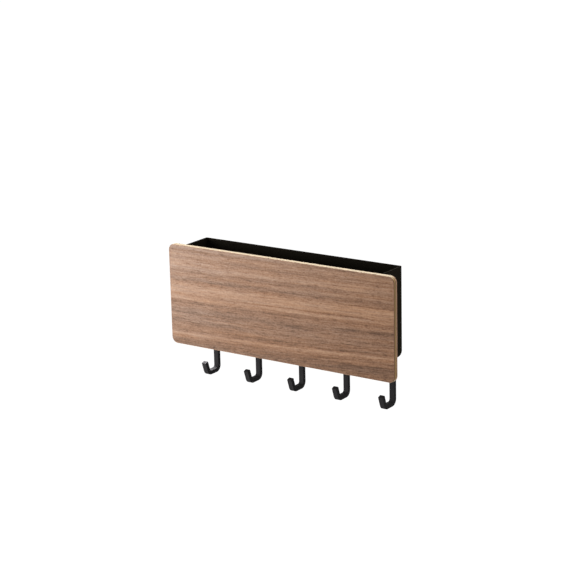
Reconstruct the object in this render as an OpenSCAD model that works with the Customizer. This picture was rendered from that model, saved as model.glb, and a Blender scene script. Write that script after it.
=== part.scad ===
// Wall rack with an open-topped tray and a row of hooks, held on a steel surface by a magnetic sheet.
// The tray is folded and welded from sheet steel. A veneered plywood panel is screwed to its front,
// and five hooks bent from flat steel bar are welded under its floor, flush with its back.
//
// Millimetres. X runs along the width, -Y points away from the wall and +Z is up.
// The origin is the centre of the magnetic sheet's wall face.

/* [Tray] */
// Outer width of the sheet steel tray
tray_w = 175; // [120:1:260]
// Outer height of the tray
tray_h = 70; // [45:1:110]
// Clear depth inside the tray, from its front wall to its back wall
tray_inside = 25.2; // [16:0.1:60]
// Thickness of the sheet steel
sheet_t = 1.2; // [0.8:0.1:2]
// Outer radius of the two bends between the tray's floor and its ends
tray_bend_r = 7; // [3:0.5:15]

/* [Front panel] */
// Thickness of the plywood panel
panel_t = 4; // [3.6:0.1:9]
// How far the panel stands out past each end of the tray
panel_side_overhang = 12.5; // [0:0.5:30]
// How far the panel stands above the tray's walls
panel_top_rise = 0.5; // [0:0.1:5]
// How far the panel hangs below the tray's floor
panel_bottom_drop = 8; // [0:0.5:15]
// Radius of the panel's four corners
panel_corner_r = 5; // [1:0.5:12]

/* [Hooks] */
// Width of the hooks' flat bar
bar_w = 4; // [3:0.1:6]
// Thickness of the hooks' flat bar
bar_t = 3.2; // [2:0.1:4.5]
// From the tray's end to the middle of the outermost hook
hook_inset = 7.5; // [7:0.5:20]
// From the tray's floor down to the hooks' lowest face
hook_drop = 36; // [26:0.5:60]
// Clear width of a hook's throat at its floor, between the inner corners
throat_w = 10; // [6:0.5:20]
// Inner radius of the bar's bends
bar_bend_r = 1.8; // [1:0.1:2.5]
// Straight length of a hook's tip past its bend
tip_len = 7.5; // [4:0.5:15]
// Angle by which the tip leans away from the stem
tip_lean = 19; // [0:1:40]

/* [Magnetic sheet] */
// Thickness of the magnetic rubber sheet
magnet_t = 1.5; // [0.8:0.1:4]
// Bare border of the tray's back round the sheet
magnet_border = 5; // [2:0.5:12]
// Radius of the sheet's corners
magnet_corner_r = 4; // [1:0.5:8]

/* [Screws] */
// Outer diameter of the screws that hold the panel
screw_d = 2.9; // [2.5:0.1:3.5]
// Diameter of a screw's head
screw_head_d = 5.6; // [4.8:0.1:7]
// Height of a screw's head
screw_head_h = 1.8; // [1.2:0.1:2.6]
// How far a screw reaches into the panel
screw_bite = 2.8; // [2:0.1:3]
// From the tray's end to the nearest screws
screw_inset_x = 24; // [14:1:40]
// From the tray's top and floor to the nearest screws
screw_inset_z = 17; // [10:1:21]

/* [Hidden] */
$fn = 64;

// Radial clearance of a screw in the front plate, and of its thread in the panel
plate_hole_gap = 0.2;
pilot_gap = 0.02;
// Depth left free below a screw's end
pilot_relief = 0.3;
// Width and depth of the cross recess in a screw's head
recess_w = 0.9;
recess_depth = 1;
// Overshoot of cutting shapes
cut = 1;

// Planes along Y, from the wall outwards
back_y = -magnet_t;
inner_back_y = back_y - sheet_t;
inner_front_y = inner_back_y - tray_inside;
front_y = inner_front_y - sheet_t;

// The tray's top and floor
tray_top = tray_h / 2;
tray_floor = -tray_h / 2;

// Hooks: spaced evenly between the outer two
hook_count = 5;
hook_pitch = (tray_w - 2 * hook_inset) / (hook_count - 1);
bar_outer_r = bar_bend_r + bar_t;
tip_bend = 90 - tip_lean;
run_len = throat_w - bar_bend_r * (1 + tan(tip_bend / 2));
stem_bend = [bar_outer_r, bar_outer_r - hook_drop];
tip_bend_centre = stem_bend + [run_len, 0];
// Straight steps along each bend
arc_steps = 14;

// Raises a flat outline in X and Z from the plane y, and carries it forward by depth
module forward(y, depth) {
    translate([0, y, 0]) rotate([90, 0, 0]) linear_extrude(depth) children();
}

// A rectangle with round corners, centred in X, from z_low to z_high
module rounded_outline(width, z_low, z_high, radius) {
    height = z_high - z_low;
    translate([-width / 2 + radius, z_low]) square([width - 2 * radius, height]);
    translate([-width / 2, z_low + radius]) square([width, height - 2 * radius]);
    for (x = [-1, 1], z = [z_low + radius, z_high - radius])
        translate([x * (width / 2 - radius), z]) circle(radius);
}

// The tray seen from the front: square above, with a round bend at each lower corner
module tray_outline(inset = 0, above = 0) {
    radius = tray_bend_r - inset;
    half = tray_w / 2 - inset;
    low = tray_floor + inset;
    translate([-half, low + radius]) square([2 * half, tray_top + above - low - radius]);
    translate([radius - half, low]) square([2 * (half - radius), radius]);
    for (x = [-1, 1]) translate([x * (half - radius), low + radius]) circle(radius);
}

// The places of the four screws, two near each end
function screw_place(i) = [
    (i % 2 == 1 ? -1 : 1) * (tray_w / 2 - screw_inset_x),
    (i <= 2 ? 1 : -1) * (tray_h / 2 - screw_inset_z)
];

// A hole of the given radius at each screw, from the plane y forward by depth
module screw_holes(radius, y, depth) {
    forward(y, depth) for (i = [1:4]) translate(screw_place(i)) circle(radius);
}

// Rear wall of the tray, cut to the band's outline and welded to it
module back_plate() {
    color("#24221f") forward(back_y, sheet_t) tray_outline();
}

// One strip of sheet steel, folded into the tray's two ends and its floor
module tray_band() {
    color("#2a2825") forward(inner_back_y, tray_inside) difference() {
        tray_outline();
        tray_outline(sheet_t, cut);
    }
}

// Front wall of the tray, with clearance holes for the screws
module front_plate() {
    color("#24221f") difference() {
        forward(inner_front_y, sheet_t) tray_outline();
        screw_holes(screw_d / 2 + plate_hole_gap, inner_front_y + cut, sheet_t + 2 * cut);
    }
}

// Walnut-veneered plywood panel, with blind pilot holes in its back
module front_panel() {
    color("#a98a75") difference() {
        forward(front_y, panel_t) rounded_outline(tray_w + 2 * panel_side_overhang,
            tray_floor - panel_bottom_drop, tray_top + panel_top_rise, panel_corner_r);
        screw_holes(screw_d / 2 + pilot_gap, front_y + cut, cut + screw_bite + pilot_relief);
    }
}

// Magnetic rubber sheet bonded to the back plate
module magnet_sheet() {
    color("#1b1b1c") forward(0, magnet_t) rounded_outline(tray_w - 2 * magnet_border,
        tray_floor + magnet_border, tray_top - magnet_border, magnet_corner_r);
}

// Points on an arc round a centre, from one angle to another
function arc(centre, radius, from, to) = [
    for (k = [0:arc_steps]) let (a = from + (to - from) * k / arc_steps)
        centre + radius * [cos(a), sin(a)]
];

// One face of the bent bar, as distances from the wall side and heights: down the stem, round
// the first bend, along the run, round the second bend and out to the tip's end
function bar_face(radius) = concat(
    [[bar_outer_r - radius, 0]],
    arc(stem_bend, radius, 180, 270),
    arc(tip_bend_centre, radius, 270, 270 + tip_bend),
    [tip_bend_centre + radius * [sin(tip_bend), -cos(tip_bend)] + tip_len * [cos(tip_bend), sin(tip_bend)]]
);

// A list from its last item to its first
function backwards(list) = [for (k = [len(list) - 1:-1:0]) list[k]];

// A hook bent from one length of flat bar: stem, run forward, and a tip that leans outwards
module hook(i) {
    color("#302f2e") translate([(i - (hook_count + 1) / 2) * hook_pitch, back_y, tray_floor])
        rotate([90, 0, -90]) linear_extrude(bar_w, center = true)
            polygon(concat(bar_face(bar_outer_r), backwards(bar_face(bar_bend_r))));
}

// A pan-head screw from inside the tray, through the front plate and into the panel
module panel_screw(i) {
    place = screw_place(i);
    edge_r = screw_head_h / 2;
    color("#3a3937") translate([place[0], inner_front_y, place[1]]) rotate([-90, 0, 0]) difference() {
        union() {
            rotate_extrude() {
                square([screw_head_d / 2, screw_head_h - edge_r]);
                square([screw_head_d / 2 - edge_r, screw_head_h]);
                translate([screw_head_d / 2 - edge_r, screw_head_h - edge_r]) intersection() {
                    circle(edge_r);
                    square(edge_r);
                }
            }
            translate([0, 0, -sheet_t - screw_bite]) cylinder(d = screw_d, h = sheet_t + screw_bite);
        }
        for (turn = [0, 90]) rotate([0, 0, turn])
            translate([-screw_head_d / 4, -recess_w / 2, screw_head_h - recess_depth])
                cube([screw_head_d / 2, recess_w, recess_depth + cut]);
    }
}

back_plate();
tray_band();
front_plate();
front_panel();
magnet_sheet();
hook(1);  // hook_1
hook(2);  // hook_2
hook(3);  // hook_3
hook(4);  // hook_4
hook(5);  // hook_5
panel_screw(1);  // panel_screw_1
panel_screw(2);  // panel_screw_2
panel_screw(3);  // panel_screw_3
panel_screw(4);  // panel_screw_4
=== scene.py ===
import bpy
import numpy as np
from mathutils import Matrix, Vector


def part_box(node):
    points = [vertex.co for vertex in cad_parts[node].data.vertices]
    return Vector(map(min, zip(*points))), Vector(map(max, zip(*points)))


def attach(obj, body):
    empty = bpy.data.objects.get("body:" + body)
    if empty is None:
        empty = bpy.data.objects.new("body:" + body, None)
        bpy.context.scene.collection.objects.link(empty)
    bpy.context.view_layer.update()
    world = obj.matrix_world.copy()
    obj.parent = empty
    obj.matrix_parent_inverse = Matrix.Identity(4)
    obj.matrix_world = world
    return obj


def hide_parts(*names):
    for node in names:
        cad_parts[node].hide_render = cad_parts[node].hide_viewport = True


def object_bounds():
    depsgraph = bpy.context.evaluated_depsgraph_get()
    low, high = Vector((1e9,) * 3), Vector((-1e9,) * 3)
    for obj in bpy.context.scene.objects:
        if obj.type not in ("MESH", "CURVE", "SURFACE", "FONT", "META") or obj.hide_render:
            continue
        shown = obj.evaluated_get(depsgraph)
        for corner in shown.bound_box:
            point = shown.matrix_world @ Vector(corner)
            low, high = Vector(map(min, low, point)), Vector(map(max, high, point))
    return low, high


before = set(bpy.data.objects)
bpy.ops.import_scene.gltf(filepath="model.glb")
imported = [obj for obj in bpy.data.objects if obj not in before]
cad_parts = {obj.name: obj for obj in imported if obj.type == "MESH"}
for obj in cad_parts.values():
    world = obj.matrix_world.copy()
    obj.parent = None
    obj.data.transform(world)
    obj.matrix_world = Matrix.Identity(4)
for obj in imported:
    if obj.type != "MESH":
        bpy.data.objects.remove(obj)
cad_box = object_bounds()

# Tray band
# One strip of 1.2 mm sheet steel, folded cold round two radius bends into the tray's two ends
# and its floor. It is welded between the two walls, and its upper ends are deburred.
MM = 0.001
sheet = 1.2 * MM
bend_radius = 7 * MM
band_low, band_high = (np.array(corner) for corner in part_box("tray_band"))
tray_half = band_high[0]
tray_top = band_high[2]
tray_floor = band_low[2]
edge_break = 0.25 * MM
sharp_above = np.radians(35)


def quarter(steps):
    """Angles from nothing to a quarter turn, in even steps."""
    return np.linspace(0, np.pi / 2, steps + 1)


def skin_rings(name, rings, finish):
    """A closed piece over rings of points, an array (rings, points, 3) in metres.
    Each quad joins two neighbouring points of a ring to the same two of the next ring, and a flat
    face closes each end. Six times the volume is the sum, over triangles, of the first corner
    dotted with the cross product of the others; where it is negative, the rings are turned round."""
    def six_volumes(r):
        ahead, beside = r[1:], np.roll(r, -1, axis=1)
        first = np.sum(r[:-1] * np.cross(beside[:-1], beside[1:]))
        second = np.sum(r[:-1] * np.cross(beside[1:], ahead))
        start = -np.sum(r[0, 0] * np.cross(r[0, 1:-1], r[0, 2:]))
        end = np.sum(r[-1, 0] * np.cross(r[-1, 1:-1], r[-1, 2:]))
        return first + second + start + end
    if six_volumes(rings) < 0:
        rings = rings[:, ::-1]
    rows, around = rings.shape[:2]
    corner = np.arange(rows * around).reshape(rows, around)
    beside = np.roll(corner, -1, axis=1)
    quads = np.stack([corner[:-1], beside[:-1], beside[1:], corner[1:]], axis=-1).reshape(-1, 4)
    faces = quads.tolist() + [corner[0, ::-1].tolist(), corner[-1].tolist()]
    mesh = bpy.data.meshes.new(name)
    mesh.from_pydata(rings.reshape(-1, 3).tolist(), [], faces)
    mesh.shade_smooth()
    mesh.set_sharp_from_angle(angle=sharp_above)
    mesh.materials.append(finish)
    piece = bpy.data.objects.new(name, mesh)
    bpy.context.scene.collection.objects.link(piece)
    piece.modifiers.new("even shading", "WEIGHTED_NORMAL").keep_sharp = True
    return piece


def add_node(tree, kind, feeds=(), **settings):
    """Adds a node. A feed is a socket's name or number with a plain value or another node's output."""
    made = tree.nodes.new(kind)
    for key, value in settings.items():
        setattr(made, key, value)
    for socket, value in dict(feeds).items():
        if isinstance(value, bpy.types.NodeSocket):
            tree.links.new(value, made.inputs[socket])
        else:
            made.inputs[socket].default_value = value
    return made


def maths(tree, operation, *terms):
    """The output of a Math node on one, two or three terms."""
    return add_node(tree, "ShaderNodeMath", enumerate(terms), operation=operation).outputs[0]


def new_finish(name):
    """A material, its nodes, its shader and the Object coordinates of whatever wears it."""
    finish = bpy.data.materials.new(name)
    finish.use_nodes = True
    shader = finish.node_tree.nodes["Principled BSDF"]
    place = finish.node_tree.nodes.new("ShaderNodeTexCoord").outputs["Object"]
    return finish, finish.node_tree, shader, place


def grain_noise(tree, place, stretch, detail, roughness=0.55):
    """Noise on coordinates that are stretched first; a stretch is given in cells per metre."""
    scaled = add_node(tree, "ShaderNodeMapping", {"Vector": place, "Scale": stretch}).outputs[0]
    feeds = {"Vector": scaled, "Scale": 1.0, "Detail": detail, "Roughness": roughness}
    return add_node(tree, "ShaderNodeTexNoise", feeds).outputs["Fac"]


def tone_ramp(tree, factor, stops):
    """A straight colour ramp with (position, colour) stops; a single number is a grey."""
    ramp = add_node(tree, "ShaderNodeValToRGB", {"Fac": factor})
    while len(ramp.color_ramp.elements) < len(stops):
        ramp.color_ramp.elements.new(1.0)
    for element, (position, colour) in zip(ramp.color_ramp.elements, stops):
        element.position = position
        element.color = (*colour, 1) if isinstance(colour, tuple) else (colour, colour, colour, 1)
    return ramp.outputs["Color"]


def add_relief(tree, shader, height, strength, distance):
    """Bumps the shader's normal by a height from 0 to 1, which stands for a distance in metres."""
    feeds = {"Height": height, "Strength": strength, "Distance": distance}
    bump = add_node(tree, "ShaderNodeBump", feeds)
    tree.links.new(bump.outputs[0], shader.inputs["Normal"])


def powder_coat(name, thin, thick, roughness, shine):
    """Baked polyester powder, matt black: a fine orange peel of about half a millimetre over a
    slow waviness, slightly lighter where the coat is thin. The waviness moves the roughness by
    a tenth to either side."""
    finish, tree, shader, place = new_finish(name)
    peel = grain_noise(tree, place, (1900, 1900, 1900), detail=3)
    wave = grain_noise(tree, place, (240, 240, 240), detail=2)
    depth = maths(tree, "MULTIPLY_ADD", wave, 0.5, peel)
    add_relief(tree, shader, depth, strength=0.35, distance=0.05 * MM)
    tree.links.new(tone_ramp(tree, peel, [(0.3, thick), (0.7, thin)]), shader.inputs["Base Color"])
    uneven = maths(tree, "MULTIPLY_ADD", wave, 0.2, roughness - 0.1)
    tree.links.new(uneven, shader.inputs["Roughness"])
    shader.inputs["Specular IOR Level"].default_value = shine
    return finish


tray_black = powder_coat("tray powder coat", thin=(0.0240, 0.0203, 0.0150),
                         thick=(0.0176, 0.0149, 0.0110), roughness=0.55, shine=0.0025)


def band_rings():
    """Rectangles carried along the fold. The fold's middle line goes down the left end, round a
    quarter circle, along the floor and up the right end; each rectangle stands half a sheet to
    either side of it and spans the tray's depth. At both ends it shrinks as 1 - cos while it
    moves out as sin, which breaks the edge."""
    middle = bend_radius - sheet / 2
    corner_x = tray_half - bend_radius
    corner_z = tray_floor + bend_radius
    turn = quarter(12)
    bend_left = np.stack([-corner_x - middle * np.cos(turn), corner_z - middle * np.sin(turn)], 1)
    top_left = np.array([[-corner_x - middle, tray_top - edge_break]])
    half_path = np.concatenate([top_left, bend_left])
    path = np.concatenate([half_path, half_path[::-1] * [-1, 1]])
    out_half = np.concatenate([[[-1.0, 0.0]], -np.stack([np.cos(turn), np.sin(turn)], 1)])
    out = np.concatenate([out_half, out_half[::-1] * [-1, 1]])
    half = np.full(len(path), sheet / 2)
    ease = quarter(5)[1:]
    rise = np.stack([0 * ease, edge_break * np.sin(ease)], 1)
    eased_half = sheet / 2 - edge_break * (1 - np.cos(ease))
    path = np.concatenate([(path[0] + rise)[::-1], path, path[-1] + rise])
    out = np.concatenate([out[:1].repeat(len(ease), 0), out, out[-1:].repeat(len(ease), 0)])
    half = np.concatenate([eased_half[::-1], half, eased_half])
    side = np.array([-1, -1, 1, 1])
    depth = np.array([band_low[1], band_high[1], band_high[1], band_low[1]])
    flat = path[:, None, :] + out[:, None, :] * half[:, None, None] * side[None, :, None]
    deep = np.broadcast_to(depth, flat.shape[:2])
    return np.stack([flat[..., 0], deep, flat[..., 1]], -1)


tray_band = skin_rings("folded_tray_band", band_rings(), tray_black)
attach(tray_band, "root")
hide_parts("tray_band")

# Tray walls
# Two sheets of the same steel, cut round at the lower corners to the band's outline. They are
# welded along the band, the rear seam is ground to a small round, and all is coated in one go.
seam_round = 1.0 * MM
upper_corner = 0.4 * MM


def outline(half_width, low, high, lower_round, upper_round, steps=10):
    """A closed outline between two heights, anticlockwise: a quarter circle at each corner,
    centred one radius in from both sides, with straight sides between them."""
    turn = quarter(steps)
    arcs = [
        (half_width - lower_round, low + lower_round, lower_round, turn - np.pi / 2),
        (half_width - upper_round, high - upper_round, upper_round, turn),
        (upper_round - half_width, high - upper_round, upper_round, turn + np.pi / 2),
        (lower_round - half_width, low + lower_round, lower_round, turn + np.pi),
    ]
    return np.concatenate([np.stack([x + r * np.cos(a), z + r * np.sin(a)], 1) for x, z, r, a in arcs])


def stack_outlines(outlines, depths):
    """Rings in space from flat outlines, each standing at its own depth along Y."""
    flat = np.stack(outlines)
    deep = np.broadcast_to(np.asarray(depths)[:, None], flat.shape[:2])
    return np.stack([flat[..., 0], deep, flat[..., 1]], -1)


def tray_wall(name, node, inner_y, outer_y, outer_round):
    """A wall of the tray, stacked from its inner to its outer face. The sides and floor draw in
    by r - sqrt(r r - d d) over the last r of the depth, d being the way into that round; the top
    edge does the same with the smaller broken edge, on both faces."""
    def drawn_in(radius, distance):
        into = np.clip(radius - distance, 0, radius)
        return radius - np.sqrt(radius ** 2 - into ** 2)
    near = edge_break * (1 - np.cos(quarter(3)))
    far = sheet - outer_round * (1 - np.sin(quarter(8)))
    steps = np.unique(np.round(np.concatenate([near, far]), 9))
    sides = drawn_in(outer_round, sheet - steps)
    top = drawn_in(edge_break, sheet - steps) + drawn_in(edge_break, steps)
    shapes = [outline(tray_half - s, tray_floor + s, tray_top - t, bend_radius - s, upper_corner)
              for s, t in zip(sides, top)]
    depths = inner_y + (outer_y - inner_y) * steps / sheet
    wall = skin_rings(name, stack_outlines(shapes, depths), tray_black)
    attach(wall, "root")
    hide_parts(node)


rear_low, rear_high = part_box("back_plate")
front_low, front_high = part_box("front_plate")
tray_wall("rear_tray_wall", "back_plate", rear_low[1], rear_high[1], seam_round)
tray_wall("front_tray_wall", "front_plate", front_high[1], front_low[1], edge_break)

# Front panel
# Plywood 4 mm thick: a darker core between two pale plies, under walnut face veneers whose grain
# runs along the width. Its corners are cut to 5 mm, its edges sanded round and left bare, and it
# is lacquered satin all over.
panel_low, panel_high = (np.array(corner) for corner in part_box("front_panel"))
panel_width, panel_thick, panel_height = panel_high - panel_low
panel_round = 5 * MM
face_ease = 0.5 * MM
rear_ease = 0.3 * MM

# Colours of the walnut from its darkest wood to its palest, and the two casts of its rings.
walnut_heart = (0.125, 0.062, 0.034)
walnut_dark = (0.210, 0.110, 0.062)
walnut_brown = (0.310, 0.170, 0.102)
walnut_pale = (0.410, 0.244, 0.158)
walnut_sap = (0.515, 0.330, 0.228)
mauve_grey = (0.86, 0.95, 1.06)
warm_tan = (0.99, 0.90, 0.77)

# Course of the rings: how much they bow, fan out and rise, and how far slow and quick noise push
# them, as cells per metre, detail and reach. The slice's depth in the log, in metres, only picks
# the part of the noise that shows.
ring_bow = 0.077
ring_fan = 0.096
ring_rise = 0.019
rise_growth = 0.014
ring_wander = [((11, 11, 26), 1, 0.025), ((38, 38, 160), 3, 0.009)]
slice_depth = 0.5

# Tone of the rings, and their cast from mauve grey to tan, from the top of the panel downwards.
ring_tones = [
    (0.030, 0.70), (0.050, 0.35), (0.065, 0.65), (0.090, 0.70), (0.115, 0.45), (0.150, 0.65),
    (0.210, 0.80), (0.240, 0.45), (0.295, 0.60), (0.320, 0.35), (0.370, 0.45), (0.405, 0.85),
    (0.465, 0.85), (0.495, 0.55), (0.525, 0.85), (0.550, 0.50), (0.565, 0.30), (0.590, 0.45),
    (0.655, 0.25), (0.730, 0.60), (0.745, 0.35), (0.820, 0.45), (0.850, 0.20), (0.885, 0.90),
    (0.910, 0.45), (0.985, 0.15)]
ring_casts = [
    (0.03, 0.0), (0.08, 0.6), (0.12, 0.4), (0.16, 0.7), (0.23, 0.4), (0.27, 0.6),
    (0.32, 0.2), (0.37, 0.8), (0.54, 0.8), (0.60, 0.4), (0.65, 0.0), (0.70, 0.2),
    (0.77, 0.2), (0.81, 0.6), (0.91, 0.7), (0.96, 0.5), (1.00, 0.0)]

# Grain, as cells per metre along the width, through the slice and across the rings, with the
# noise's detail and roughness; where each peak starts and is full; and what each adds to the tone.
walnut_grain = {
    "streak": ((14, 40, 420), 3, 0.65),
    "fibre": ((95, 200, 1050), 2, 0.6),
    "fleck": ((640, 400, 900), 1, 0.55),
    "clump": ((190, 300, 1300), 1, 0.55),
    "vein": ((12, 40, 640), 2, 0.6),
    "pore": ((260, 900, 6500), 1, 0.55),
    "hue": ((20, 60, 330), 3, 0.75),
}
grain_peaks = {"clump": (0.57, 0.74), "vein": (0.56, 0.68), "pore": (0.60, 0.68)}
grain_weights = {"streak": 0.80, "fibre": 0.84, "fleck": 0.62}
peak_weights = {"vein": -0.25, "pore": -0.12}
clump_weight = -0.60
clump_ring_weight = 0.35
ring_weight = 0.72
tone_start = -0.88

# How the contrast about the middle tone grows to the right, what adds up to the cast, whose share
# along the width is painted sheen that greys the wood toward the left, and what adds up to a
# point's way from the upper left to the lower right, with a painted sheen tint along that way:
# paler and cooler at the upper left, where the near left lamp's gloss falls.
middle_tone = 0.56
contrast_left = 0.84
contrast_growth = 0.18
cast_start = -0.08
cast_and_sheen_weights = {"hue": 0.84, "ring": 0.28, "along": 0.14}
way_start = -0.05
way_weights = {"along": 0.9, "down": 0.2}
sheen_tint_stops = [(0.0, (1.05, 1.10, 1.17)), (0.5, (1.00, 0.98, 0.96)), (1.0, (1.04, 1.01, 0.98))]


def tinted(tree, colour, by):
    """A colour times another colour or a number."""
    feeds = {0: colour, 1: by}
    return add_node(tree, "ShaderNodeVectorMath", feeds, operation="MULTIPLY").outputs[0]


def ring_level(tree, place, along, down):
    """Which growth ring a point lies in, from 0 at the top to about 1 at the bottom. The way down
    is shortened by the bow times along times (1 - along), raised by along times the rise, which
    grows with along, and divided by 1 less the fan times along. Noise makes it wander."""
    bow = maths(tree, "MULTIPLY", along, maths(tree, "SUBTRACT", 1.0, along))
    bowed = maths(tree, "MULTIPLY", down, maths(tree, "MULTIPLY_ADD", bow, -ring_bow, 1.0))
    rise = maths(tree, "MULTIPLY_ADD", along, rise_growth, ring_rise)
    lifted = maths(tree, "MULTIPLY_ADD", along, rise, bowed)
    level = maths(tree, "DIVIDE", lifted, maths(tree, "MULTIPLY_ADD", along, -ring_fan, 1.0))
    for cells, detail, reach in ring_wander:
        push = maths(tree, "SUBTRACT", grain_noise(tree, place, cells, detail), 0.5)
        level = maths(tree, "MULTIPLY_ADD", push, reach, level)
    return level


def walnut_veneer(name):
    """Sliced walnut on Object coordinates. A ramp over the rings' level gives the dark and pale
    rings, and noise drawn out along the rings adds streaks, fibres and flecks by weight. Its peaks
    are clumps, which darken pale rings less, dark veins and open pores. The tone's distance from
    its middle grows to the right. A second ramp over the level and a broad noise turn the rings
    between mauve grey and tan, and a painted sheen greys them toward the left. The whole is also
    painted a little paler and cooler at the upper left, as the near left lamp's sheen."""
    finish, tree, shader, place = new_finish(name)
    axes = add_node(tree, "ShaderNodeSeparateXYZ", {0: place}).outputs
    along = maths(tree, "MULTIPLY_ADD", axes["X"], 1 / panel_width, 0.5)
    down = maths(tree, "MULTIPLY_ADD", axes["Z"], -1 / panel_height, panel_high[2] / panel_height)
    level = ring_level(tree, place, along, down)
    rings = tone_ramp(tree, level, ring_tones)
    within = maths(tree, "ADD", axes["Y"], slice_depth)
    across = maths(tree, "MULTIPLY", level, panel_height)
    log = {"X": axes["X"], "Y": within, "Z": across}
    run = add_node(tree, "ShaderNodeCombineXYZ", log).outputs[0]
    grain = {kind: grain_noise(tree, run, *sort) for kind, sort in walnut_grain.items()}
    peaks = {kind: tone_ramp(tree, grain[kind], [(start, 0.0), (full, 1.0)])
             for kind, (start, full) in grain_peaks.items()}
    tone = maths(tree, "MULTIPLY_ADD", rings, ring_weight, tone_start)
    for kind, weight in grain_weights.items():
        tone = maths(tree, "MULTIPLY_ADD", grain[kind], weight, tone)
    darkening = maths(tree, "MULTIPLY_ADD", rings, clump_ring_weight, clump_weight)
    tone = maths(tree, "MULTIPLY_ADD", peaks["clump"], darkening, tone)
    for kind, weight in peak_weights.items():
        tone = maths(tree, "MULTIPLY_ADD", peaks[kind], weight, tone)
    contrast = maths(tree, "MULTIPLY_ADD", along, contrast_growth, contrast_left)
    apart = maths(tree, "SUBTRACT", tone, middle_tone)
    tone = maths(tree, "MULTIPLY_ADD", apart, contrast, middle_tone)
    wood = tone_ramp(tree, tone, [(0.0, walnut_heart), (0.25, walnut_dark), (0.5, walnut_brown),
                                  (0.75, walnut_pale), (1.0, walnut_sap)])
    warm = maths(tree, "MULTIPLY_ADD", grain["hue"], cast_and_sheen_weights["hue"], cast_start)
    ring_cast = tone_ramp(tree, level, ring_casts)
    warm = maths(tree, "MULTIPLY_ADD", ring_cast, cast_and_sheen_weights["ring"], warm)
    # Painted sheen: the share along the width greys the cast toward the left.
    warm = maths(tree, "MULTIPLY_ADD", along, cast_and_sheen_weights["along"], warm)
    cast = tone_ramp(tree, warm, [(0.28, mauve_grey), (0.78, warm_tan)])
    # Painted sheen: a tint that is paler and cooler at the upper left, where the near left lamp's gloss
    # falls.
    way = maths(tree, "MULTIPLY_ADD", down, way_weights["down"], way_start)
    way = maths(tree, "MULTIPLY_ADD", along, way_weights["along"], way)
    sheen_tint = tone_ramp(tree, way, sheen_tint_stops)
    tree.links.new(tinted(tree, tinted(tree, wood, cast), sheen_tint), shader.inputs["Base Color"])
    ridges = maths(tree, "MULTIPLY", grain["fibre"], 0.5)
    depth = maths(tree, "SUBTRACT", ridges, peaks["pore"])
    add_relief(tree, shader, depth, strength=0.4, distance=0.06 * MM)
    satin = maths(tree, "MULTIPLY_ADD", grain["fibre"], 0.14, 0.40)
    tree.links.new(maths(tree, "MULTIPLY_ADD", peaks["pore"], 0.15, satin), shader.inputs["Roughness"])
    shader.inputs["Specular IOR Level"].default_value = 0.15
    return finish


# Plies from the face to the back, as seen along the grain and on the ends of the fibres, and at
# what share of the half width the ends of the fibres begin and are all that shows.
plies_along_grain = [
    (0.00, walnut_pale), (0.05, walnut_brown), (0.08, (0.78, 0.645, 0.450)),
    (0.46, (0.76, 0.62, 0.425)), (0.49, (0.50, 0.385, 0.24)), (0.53, (0.78, 0.63, 0.440)),
    (0.88, (0.76, 0.60, 0.410)), (0.92, walnut_dark), (1.00, walnut_brown)]
plies_on_end = [
    (0.00, walnut_brown), (0.05, walnut_dark), (0.10, (0.17, 0.10, 0.05)),
    (0.13, (0.57, 0.345, 0.135)), (0.42, (0.54, 0.325, 0.12)), (0.45, (0.13, 0.075, 0.035)),
    (0.58, (0.16, 0.09, 0.045)), (0.61, (0.72, 0.42, 0.245)), (0.90, (0.68, 0.39, 0.225)),
    (0.94, (0.22, 0.13, 0.07)), (1.00, walnut_dark)]
end_starts = 0.965
end_full = 0.992
ply_wander = 0.05


def ply_edge(name):
    """The bare edge of the board: a ramp over the depth gives each ply its wood and each glue line
    its dark trace, pale along the grain at the top and darker where the ends of the fibres drink
    the lacquer. Noise in thin layers, for the cut fibres, and fine dots shade it, and the plies
    wander a little."""
    finish, tree, shader, place = new_finish(name)
    axes = add_node(tree, "ShaderNodeSeparateXYZ", {0: place}).outputs
    into = maths(tree, "MULTIPLY_ADD", axes["Y"], 1 / panel_thick, -panel_low[1] / panel_thick)
    push = maths(tree, "SUBTRACT", grain_noise(tree, place, (60, 60, 60), detail=2), 0.5)
    into = maths(tree, "MULTIPLY_ADD", push, ply_wander, into)
    reach = maths(tree, "DIVIDE", maths(tree, "ABSOLUTE", axes["X"]), panel_high[0])
    at_end = tone_ramp(tree, reach, [(end_starts, 0.0), (end_full, 1.0)])
    along_grain = tone_ramp(tree, into, plies_along_grain)
    feeds = {"Factor": at_end, 6: along_grain, 7: tone_ramp(tree, into, plies_on_end)}
    plies = add_node(tree, "ShaderNodeMix", feeds, data_type="RGBA").outputs[2]
    fibre = grain_noise(tree, place, (260, 5200, 260), detail=3, roughness=0.6)
    dots = grain_noise(tree, place, (2600, 2600, 2600), detail=2)
    shade = maths(tree, "MULTIPLY_ADD", dots, 0.26, maths(tree, "MULTIPLY_ADD", fibre, 0.5, 0.62))
    tree.links.new(tinted(tree, plies, shade), shader.inputs["Base Color"])
    add_relief(tree, shader, fibre, strength=0.5, distance=0.06 * MM)
    tree.links.new(maths(tree, "MULTIPLY_ADD", dots, 0.2, 0.45), shader.inputs["Roughness"])
    shader.inputs["Specular IOR Level"].default_value = 0.2
    return finish


def board_rings(low, high, corner_round, insets, depths):
    """Outlines of a board's box stacked along its depth, each drawn in by an inset on all sides,
    with the radius of its corners shrunk by as much."""
    shapes = [outline(high[0] - s, low[2] + s, high[2] - s, corner_round - s, corner_round - s)
              for s in insets]
    return stack_outlines(shapes, depths)


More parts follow.
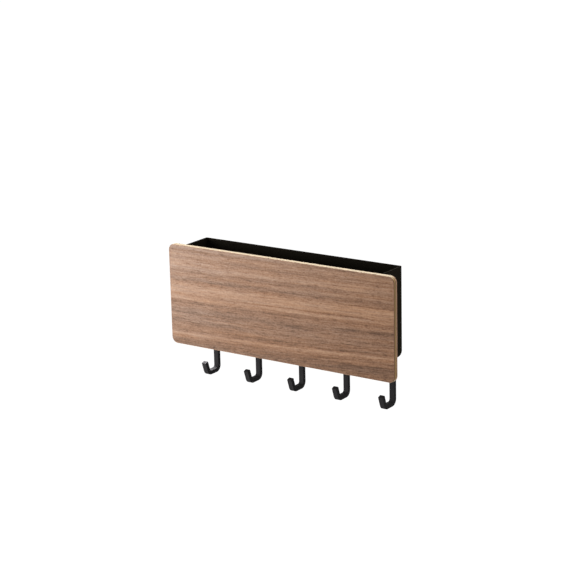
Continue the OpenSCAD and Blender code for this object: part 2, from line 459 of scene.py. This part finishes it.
def panel_rings():
    """The panel from its face to its back: over each eased edge the outline draws in by
    r (1 - cos) while the depth moves by r (1 - sin)."""
    near, far = quarter(6)[::-1], quarter(6)
    insets = np.concatenate([face_ease * (1 - np.cos(near)), rear_ease * (1 - np.cos(far))])
    face_depths = panel_low[1] + face_ease * (1 - np.sin(near))
    rear_depths = panel_high[1] - rear_ease * (1 - np.sin(far))
    depths = np.concatenate([face_depths, rear_depths])
    return board_rings(panel_low, panel_high, panel_round, insets, depths)


panel = skin_rings("walnut_panel", panel_rings(), walnut_veneer("walnut veneer"))
panel.data.materials.append(ply_edge("plywood edge"))

# The mesh's last two faces are the panel's face and back, in veneer. All the others are its edge.
finish_of_face = np.ones(len(panel.data.polygons), np.int32)
finish_of_face[-2:] = 0
panel.data.polygons.foreach_set("material_index", finish_of_face)
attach(panel, "root")
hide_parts("front_panel")

# Screws
# Four pan-head screws of black zinc-plated steel, driven from inside the tray through the front
# wall into the panel. Cold-headed with a cross recess, with a rolled thread on a 2.9 mm shank.
head_radius = 2.8 * MM
head_height = 1.8 * MM
seat_ease = 0.05 * MM
shank_radius = 1.45 * MM
thread_depth = 0.3 * MM
thread_pitch = 1.1 * MM
point_length = 1.2 * MM
point_blunt = 0.12
recess_half_width = 0.45 * MM
recess_half_length = 1.42 * MM
recess_wall = 0.10 * MM
recess_run_out = 0.35 * MM
recess_depth = 0.95 * MM
zinc_dark = (0.035, 0.035, 0.038)
zinc_light = (0.075, 0.072, 0.072)


def black_zinc(name):
    """Black-passivated zinc: a dark metal. A fine crystalline grain picks its tone and breaks its
    shine, as it is rougher where it is lighter."""
    finish, tree, shader, place = new_finish(name)
    grain = grain_noise(tree, place, (5200, 5200, 5200), detail=2)
    colour = tone_ramp(tree, grain, [(0.3, zinc_dark), (0.75, zinc_light)])
    tree.links.new(colour, shader.inputs["Base Color"])
    tree.links.new(maths(tree, "MULTIPLY_ADD", grain, 0.3, 0.24), shader.inputs["Roughness"])
    shader.inputs["Metallic"].default_value = 1.0
    return finish


def screw_rings(centre_x, centre_z, seat_y, tip_y):
    """Circles stacked along the axis, from the tip to the crown. The shank's radius dips by the
    thread's depth as a triangle wave of the height in pitches plus the angle in turns, and tapers
    to a blunt point. The head is a flat seat, a side, and an edge that rounds over as sin and cos.
    On the crown the circles shrink to the axis, and the two crossed slots sink it: a slot's depth
    is the product of two ramps, one across its width and one along its length."""
    angle = np.linspace(0, 2 * np.pi, 96, endpoint=False)[None, :]
    climb = (seat_y - tip_y) * np.linspace(0, 1, 64)[:, None]
    wave = np.abs(((climb / thread_pitch + angle / (2 * np.pi)) % 1) * 2 - 1)
    taper = np.clip(climb / point_length + point_blunt, 0, 1)
    shank_r = (shank_radius - thread_depth * wave) * taper
    shank_y = tip_y + climb
    seat_r = np.array([[shank_radius], [head_radius - seat_ease], [head_radius]])
    seat_rows = np.array([[seat_y], [seat_y], [seat_y + seat_ease]])
    head_round = head_height / 2
    over = quarter(8)[:, None]
    side_r = head_radius - head_round * (1 - np.cos(over))
    side_y = seat_y + head_height - head_round * (1 - np.sin(over))
    crown_r = (head_radius - head_round) * np.linspace(0.97, 0.004, 30)[:, None]
    def slot(across, lengthways):
        wall = np.clip((recess_half_width - np.abs(across)) / recess_wall, 0, 1)
        run = np.clip((recess_half_length - np.abs(lengthways)) / recess_run_out, 0, 1)
        return wall * run
    x, z = crown_r * np.cos(angle), crown_r * np.sin(angle)
    crown_y = seat_y + head_height - recess_depth * np.maximum(slot(x, z), slot(z, x))
    def all_round(parts):
        return np.concatenate([np.broadcast_to(part, (len(part), angle.size)) for part in parts])
    radius = all_round([shank_r, seat_r, side_r, crown_r])
    height = all_round([shank_y, seat_rows, side_y, crown_y])
    return np.stack([centre_x + radius * np.cos(angle), height, centre_z + radius * np.sin(angle)], -1)


zinc = black_zinc("black zinc")
for number in range(1, 5):
    screw_low, screw_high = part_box(f"panel_screw_{number}")
    middle = (screw_low + screw_high) / 2
    seat = screw_high[1] - head_height
    rings = screw_rings(middle[0], middle[2], seat, screw_low[1])
    screw = skin_rings(f"pan_head_screw_{number}", rings, zinc)
    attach(screw, "root")
    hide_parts(f"panel_screw_{number}")

# Hooks
# Five lengths of 4 x 3.2 mm flat steel bar, each bent twice and left with a tip that leans out.
# Their stems stand flush with the tray's rear, fillet-welded under its floor, and are coated too.
bar_width = 4 * MM
bar_thick = 3.2 * MM
bar_inner = 1.8 * MM
bar_edge = 0.12 * MM
stem_to_bend = 31 * MM
stem_ring = 12 * MM
run_length = 6.9161 * MM
tip_turn = np.radians(71)
tip_length = 7.5 * MM
weld_leg = 1.3 * MM
# The hooks wear the tray's black powder drawn lighter; the extra is painted sheen, the white surroundings
# in the coat's gloss.
hook_black_painted_sheen = powder_coat("hook powder coat with painted sheen", thin=(0.0410, 0.0394, 0.0412),
                         thick=(0.0315, 0.0303, 0.0316), roughness=0.5, shine=0.006)


def hook_rings(centre_x, rear_y, top_z):
    """The bar's section carried along its middle line: down the stem, with one ring on the way,
    round a quarter circle, along the run, round the second bend and out along the tip. The
    section is a rectangle with a quarter circle at each corner, and its four corners move out
    along their diagonals by a growth. Under the floor the growth is the weld's hollow fillet, the
    leg less the square root of the drop times (twice the leg less the drop), cut flush at the
    rear. At the tip it is minus the edge times (1 - cos) while the ring moves on as sin, which
    breaks the cut end."""
    section = outline(bar_width / 2, -bar_thick / 2, bar_thick / 2, bar_edge, bar_edge, steps=4)
    outward = np.sign(section) / np.sqrt(2)
    middle = bar_inner + bar_thick / 2
    first = quarter(14)
    second = np.linspace(0, tip_turn, 13)
    ease = quarter(5)
    bead = weld_leg * (1 - np.cos(quarter(7)))
    drop = np.append(bead, stem_ring)
    start = bar_thick / 2
    stem = np.stack([np.full(len(drop), start), -drop], 1)
    bend_one = np.stack([start + middle * (1 - np.cos(first)), -stem_to_bend - middle * np.sin(first)], 1)
    low = -stem_to_bend - middle
    far = start + middle + run_length
    bend_two = np.stack([far + middle * np.sin(second), low + middle * (1 - np.cos(second))], 1)
    reach = tip_length - bar_edge * (1 - np.sin(ease))
    tip = bend_two[-1] + reach[:, None] * [np.cos(tip_turn), np.sin(tip_turn)]
    path = np.concatenate([stem, bend_one, bend_two, tip])
    tip_angle = np.full(len(ease), np.pi / 2 + tip_turn)
    turned = np.concatenate([0 * drop, first, np.pi / 2 + second, tip_angle])
    across = np.stack([np.cos(turned), np.sin(turned)], 1)
    growth = np.zeros(len(path))
    growth[:len(bead)] = weld_leg - np.sqrt(bead * (2 * weld_leg - bead))
    growth[-len(ease):] = -bar_edge * (1 - np.cos(ease))
    shapes = section[None] + growth[:, None, None] * outward[None]
    flat = path[:, None] - shapes[..., 1:] * across[:, None]
    forward = np.maximum(flat[..., 0], 0)
    return np.stack([centre_x + shapes[..., 0], rear_y - forward, top_z + flat[..., 1]], -1)


for number in range(1, 6):
    hook_low, hook_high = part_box(f"hook_{number}")
    rings = hook_rings((hook_low[0] + hook_high[0]) / 2, hook_high[1], hook_high[2])
    hook = skin_rings(f"bent_bar_hook_{number}", rings, hook_black_painted_sheen)
    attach(hook, "root")
    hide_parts(f"hook_{number}")

# Magnetic sheet
# Flexible magnet: ferrite powder in synthetic rubber, rolled to 1.5 mm and die cut with round
# corners. It is bonded to the tray's back and holds the rack by its whole area.
magnet_low, magnet_high = (np.array(corner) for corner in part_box("magnet_sheet"))
magnet_round = 4 * MM
magnet_ease = 0.25 * MM
rubber_dark = (0.022, 0.020, 0.019)
rubber_rubbed = (0.062, 0.057, 0.053)


def magnetic_rubber(name):
    """Rolled rubber: dull dark brown-grey, with paler rubbed specks where it has met the wall, all
    shaded by the fine lines that the rollers leave along the width."""
    finish, tree, shader, place = new_finish(name)
    lines = grain_noise(tree, place, (9, 300, 620), detail=5, roughness=0.7)
    specks = grain_noise(tree, place, (420, 420, 420), detail=4, roughness=0.7)
    rub = tone_ramp(tree, specks, [(0.56, rubber_dark), (0.72, rubber_rubbed)])
    shade = maths(tree, "MULTIPLY_ADD", lines, 2.4, -0.2)
    tree.links.new(tinted(tree, rub, shade), shader.inputs["Base Color"])
    depth = maths(tree, "MULTIPLY_ADD", specks, 0.4, lines)
    add_relief(tree, shader, depth, strength=0.5, distance=0.12 * MM)
    tree.links.new(maths(tree, "MULTIPLY_ADD", lines, 0.5, 0.40), shader.inputs["Roughness"])
    shader.inputs["Specular IOR Level"].default_value = 0.16
    return finish


def magnet_rings():
    """The sheet from its bonded face to its wall face, whose die-cut edge is eased: it draws in
    by r (1 - cos) while the depth moves by r (1 - sin)."""
    far = quarter(4)
    insets = np.append(0, magnet_ease * (1 - np.cos(far)))
    depths = np.append(magnet_low[1], magnet_high[1] - magnet_ease * (1 - np.sin(far)))
    return board_rings(magnet_low, magnet_high, magnet_round, insets, depths)


magnet = skin_rings("magnetic_rubber_sheet", magnet_rings(), magnetic_rubber("magnetic rubber"))
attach(magnet, "root")
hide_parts("magnet_sheet")

# Floor
# A plain pale studio floor, well below the hanging rack. It takes the rack's soft shadow, and
# camera, mirror and clear rays see it lifted to the white of the background. The lift grows with
# the distance from the rack, in shares of its reach.
floor_level = -0.50
floor_half = 30
floor_colour = (0.78, 0.78, 0.78, 1)
lift_reach = 2.5
lift_stops = [(0.2, 0.80), (0.9, 0.90)]


def seen_directly(tree):
    """1 for a ray from the camera, off a shiny surface or through a clear one, else 0."""
    path = tree.nodes.new("ShaderNodeLightPath").outputs
    either = maths(tree, "MAXIMUM", path["Is Camera Ray"], path["Is Glossy Ray"])
    return maths(tree, "MAXIMUM", either, path["Is Transmission Ray"])


floor_mesh = bpy.data.meshes.new("studio_floor")
corners = np.array([[-1, -1], [1, -1], [1, 1], [-1, 1]]) * floor_half
corners = np.insert(corners.astype(float), 2, floor_level, axis=1)
floor_mesh.from_pydata(corners.tolist(), [], [[0, 1, 2, 3]])
floor = bpy.data.objects.new("studio_floor", floor_mesh)
bpy.context.scene.collection.objects.link(floor)
floor_finish, tree, shader, place = new_finish("pale floor")
shader.inputs["Base Color"].default_value = floor_colour
shader.inputs["Roughness"].default_value = 0.9
shader.inputs["Specular IOR Level"].default_value = 0.0
shader.inputs["Emission Color"].default_value = (1, 1, 1, 1)
distance = add_node(tree, "ShaderNodeVectorMath", {0: place}, operation="LENGTH").outputs["Value"]
lift = tone_ramp(tree, maths(tree, "DIVIDE", distance, lift_reach), lift_stops)
lift = maths(tree, "MULTIPLY", seen_directly(tree), lift)
tree.links.new(lift, shader.inputs["Emission Strength"])
floor_mesh.materials.append(floor_finish)

# Light
# Four soft boxes. One hangs almost overhead, a little behind and to the left, a near one lights
# the panel's face from the left, and weak ones open up the right end and the back.
rack_middle = (np.array(cad_box[0]) + np.array(cad_box[1])) / 2


def stand(name, data, place, axes):
    """A lamp or camera at a place, turned so that its own three axes are the given unit vectors."""
    matrix = np.eye(4)
    matrix[:3, :3] = np.stack(axes, 1)
    matrix[:3, 3] = place
    stood = bpy.data.objects.new(name, data)
    stood.matrix_world = Matrix(matrix.tolist())
    bpy.context.scene.collection.objects.link(stood)
    return stood


def aim(name, lamp, target, away, distance):
    """A lamp at a distance from its target along the unit vector away. It shines against its own
    third axis, so that axis is away; the first is level, and the second is their cross product."""
    level = np.cross([0, 0, 1], away)
    level = level / np.linalg.norm(level)
    stand(name, lamp, target + away * distance, [level, np.cross(away, level), away])


def soft_box(name, azimuth, elevation, distance, side, power):
    """A square area light aimed at the rack's middle; azimuth turns from the front to the left."""
    turn, lift = np.radians(azimuth), np.radians(elevation)
    away = np.array([-np.sin(turn) * np.cos(lift), -np.cos(turn) * np.cos(lift), np.sin(lift)])
    lamp = bpy.data.lights.new(name, "AREA")
    lamp.shape = "SQUARE"
    lamp.size = side
    lamp.energy = power
    aim(name, lamp, rack_middle, away, distance)


soft_box("high rear box", azimuth=132, elevation=76, distance=0.80, side=0.40, power=5.5)
soft_box("front left box", azimuth=39, elevation=2, distance=0.40, side=0.30, power=1.82)
soft_box("right fill box", azimuth=-100, elevation=16, distance=0.70, side=0.40, power=0.70)
soft_box("rear fill box", azimuth=172, elevation=4, distance=0.90, side=0.60, power=3.0)

# Accent on the first hook
# A narrow spot from nearly straight above, a little to the left and behind, past the tray's left
# end. It reaches little but the first hook, whose throat and cut tip look up at it, and is aimed
# just behind the tip.
accent_distance = 0.25
behind_tip = 3.5 * MM
above_bend = 8 * MM
accent = bpy.data.lights.new("first hook accent", "SPOT")
accent.energy = 27.0
accent.spot_size = np.radians(5.5)
accent.spot_blend = 0.8
accent.shadow_soft_size = 0.01
accent_away = np.array([-0.30, 0.14, 0.94])
accent_away = accent_away / np.linalg.norm(accent_away)
hook_low, hook_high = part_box("hook_1")
hook_middle = (hook_low[0] + hook_high[0]) / 2
accent_target = np.array([hook_middle, hook_low[1] + behind_tip, hook_low[2] + above_bend])
aim("first hook accent", accent, accent_target, accent_away, accent_distance)

# Room
# A dim even room fills the shadows. Camera, mirror and clear rays see it plain white, behind the
# rack and in its gloss.
room_light = 0.17
world = bpy.data.worlds.new("studio room")
world.use_nodes = True
bpy.context.scene.world = world
tree = world.node_tree
strength = maths(tree, "MULTIPLY_ADD", seen_directly(tree), 1 - room_light, room_light)
background = tree.nodes["Background"]
background.inputs["Color"].default_value = (1, 1, 1, 1)
tree.links.new(strength, background.inputs["Strength"])
bpy.context.scene.view_settings.view_transform = "Standard"

# Camera
# At the photograph's viewing angle: from the right and a little above, with a long lens. Place,
# turn and lens come from measured edges of the panel, tray and hooks.
camera_place = np.array([733.64, -1076.67, 365.50]) * MM
camera_azimuth = np.radians(34.802)
camera_elevation = np.radians(15.364)
camera_roll = np.radians(-1.326)
photo_width = 573
focal_pixels = 1806.95
camera_data = bpy.data.cameras.new("photo view")
camera_data.sensor_width = 36
camera_data.lens = focal_pixels / photo_width * camera_data.sensor_width
back = np.array([np.sin(camera_azimuth) * np.cos(camera_elevation),
                 -np.cos(camera_azimuth) * np.cos(camera_elevation), np.sin(camera_elevation)])
level_right = np.array([np.cos(camera_azimuth), np.sin(camera_azimuth), 0])
level_up = np.cross(back, level_right)
right = np.cos(camera_roll) * level_right + np.sin(camera_roll) * level_up
up = -np.sin(camera_roll) * level_right + np.cos(camera_roll) * level_up
bpy.context.scene.camera = stand("photo view", camera_data, camera_place, [right, up, back])
